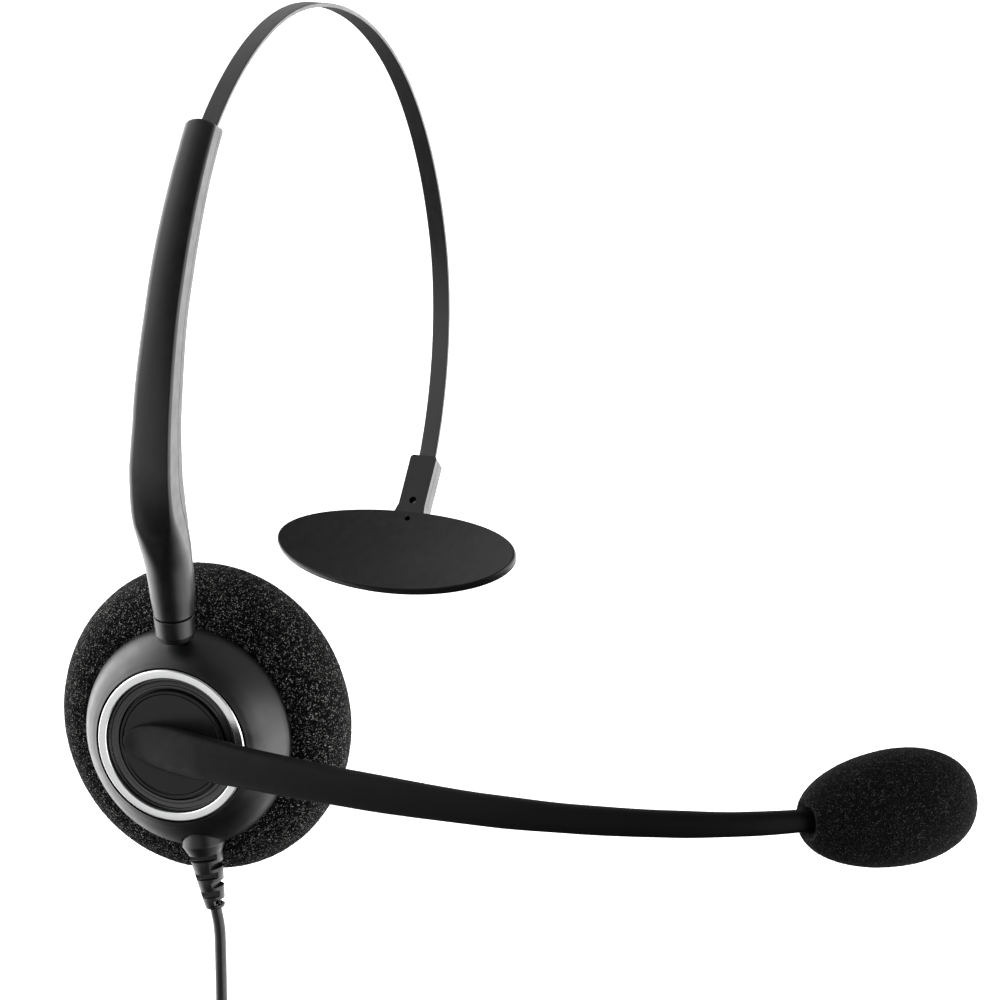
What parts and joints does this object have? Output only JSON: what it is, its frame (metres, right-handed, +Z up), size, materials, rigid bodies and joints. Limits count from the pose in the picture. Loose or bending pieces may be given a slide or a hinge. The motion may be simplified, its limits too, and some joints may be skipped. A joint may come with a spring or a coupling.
{
  "type": "office headset",
  "caption": "Monaural call headset: foam ear cushion, hinged microphone boom, sliding spring headband with a temple pad, and a coiled lead with a modular plug.",
  "frame": {"origin": "centre of the ear cushion's flat face, where it rests on the wearer's ear", "axes": "+X forward, the way the microphone boom points; +Y from the ear cup through the head to the temple pad; +Z up"},
  "size_m": [0.172, 0.1564, 0.2628],
  "materials": {
    "cup_plastic": "satin black moulded plastic, fine grain",
    "trim_silver": "bright satin silver trim",
    "bearing_grey": "dark grey acetal, low sheen",
    "boom_plastic": "near-black plastic, low sheen",
    "arm_plastic": "satin black moulded plastic",
    "inner_plastic": "unpolished moulded plastic",
    "foam": "open-cell black foam",
    "band_steel": "black coated spring steel",
    "pad_rubber": "smooth satin black rubber",
    "steel": "plain zinc plated steel",
    "magnet_nickel": "nickel plated",
    "film": "thin amber film",
    "copper": "enamelled copper wire",
    "board_green": "green solder mask",
    "cloth": "fine black acoustic cloth",
    "cord_rubber": "matt black cord jacket",
    "plug_clear": "clear polycarbonate",
    "contact_gold": "gold plated contacts"
  },
  "bodies": {
    "ear_cup": {"ear_cup_shell": "cup_plastic", "trim_ring": "trim_silver", "boom_bearing_ring": "bearing_grey", "ear_cup_back_plate": "inner_plastic", "ear_cup_screw_1": "steel", "ear_cup_screw_2": "steel", "ear_cup_screw_3": "steel", "tilt_pin": "steel", "driver_frame": "inner_plastic", "driver_magnet": "magnet_nickel", "driver_voice_coil": "copper", "driver_diaphragm": "film", "driver_cloth": "cloth", "ear_cushion": "foam", "terminal_board": "board_green", "cord_inner_lead": "cord_rubber", "cord_clamp": "inner_plastic", "strain_relief": "cord_rubber", "cord": "cord_rubber", "cord_coil": "cord_rubber", "cord_tie": "inner_plastic", "cord_plug_end": "cord_rubber", "plug_body": "plug_clear", "plug_contact_1": "contact_gold", "plug_contact_2": "contact_gold", "plug_contact_3": "contact_gold", "plug_contact_4": "contact_gold"},
    "boom": {"boom_hub": "boom_plastic", "boom_arm": "boom_plastic", "mic_lead": "cord_rubber", "boom_wave_washer": "steel", "boom_retaining_washer": "steel", "boom_screw": "steel", "mic_housing": "boom_plastic", "mic_capsule": "steel", "mic_front_cloth": "cloth", "mic_windscreen": "foam"},
    "collar": {"swivel_collar": "arm_plastic"},
    "arm": {"arm_outer_cover": "arm_plastic", "arm_inner_cover": "arm_plastic", "swivel_clip": "steel", "band_guide": "inner_plastic", "friction_spring": "steel"},
    "headband": {"headband_strip": "band_steel", "headband_stop": "inner_plastic", "temple_stem": "arm_plastic", "temple_stem_cover": "arm_plastic", "temple_screw_1": "steel", "temple_screw_2": "steel", "temple_pad_plate": "pad_rubber", "temple_pad_face": "pad_rubber"}
  },
  "joints": [
    {"name": "boom_swing", "type": "hinge", "parent": "ear_cup", "child": "boom", "pos_m": [0, -0.027, 0], "axis": [0, -1, 0], "range_deg": [-60, 240]},
    {"name": "cup_tilt", "type": "hinge", "parent": "ear_cup", "child": "collar", "pos_m": [0, -0.02307, 0.01554], "axis": [1, 0, 0], "range_deg": [-6, 6]},
    {"name": "arm_swivel", "type": "hinge", "parent": "collar", "child": "arm", "pos_m": [0, -0.0245, 0.0229], "axis": [0, -0.1908, 0.9816], "range_deg": [-25, 25]},
    {"name": "band_slide", "type": "hinge", "parent": "arm", "child": "headband", "pos_m": [0, 0.0329, 0.0597], "axis": [-1, 0, 0], "range_deg": [-4, 15]}
  ]
}
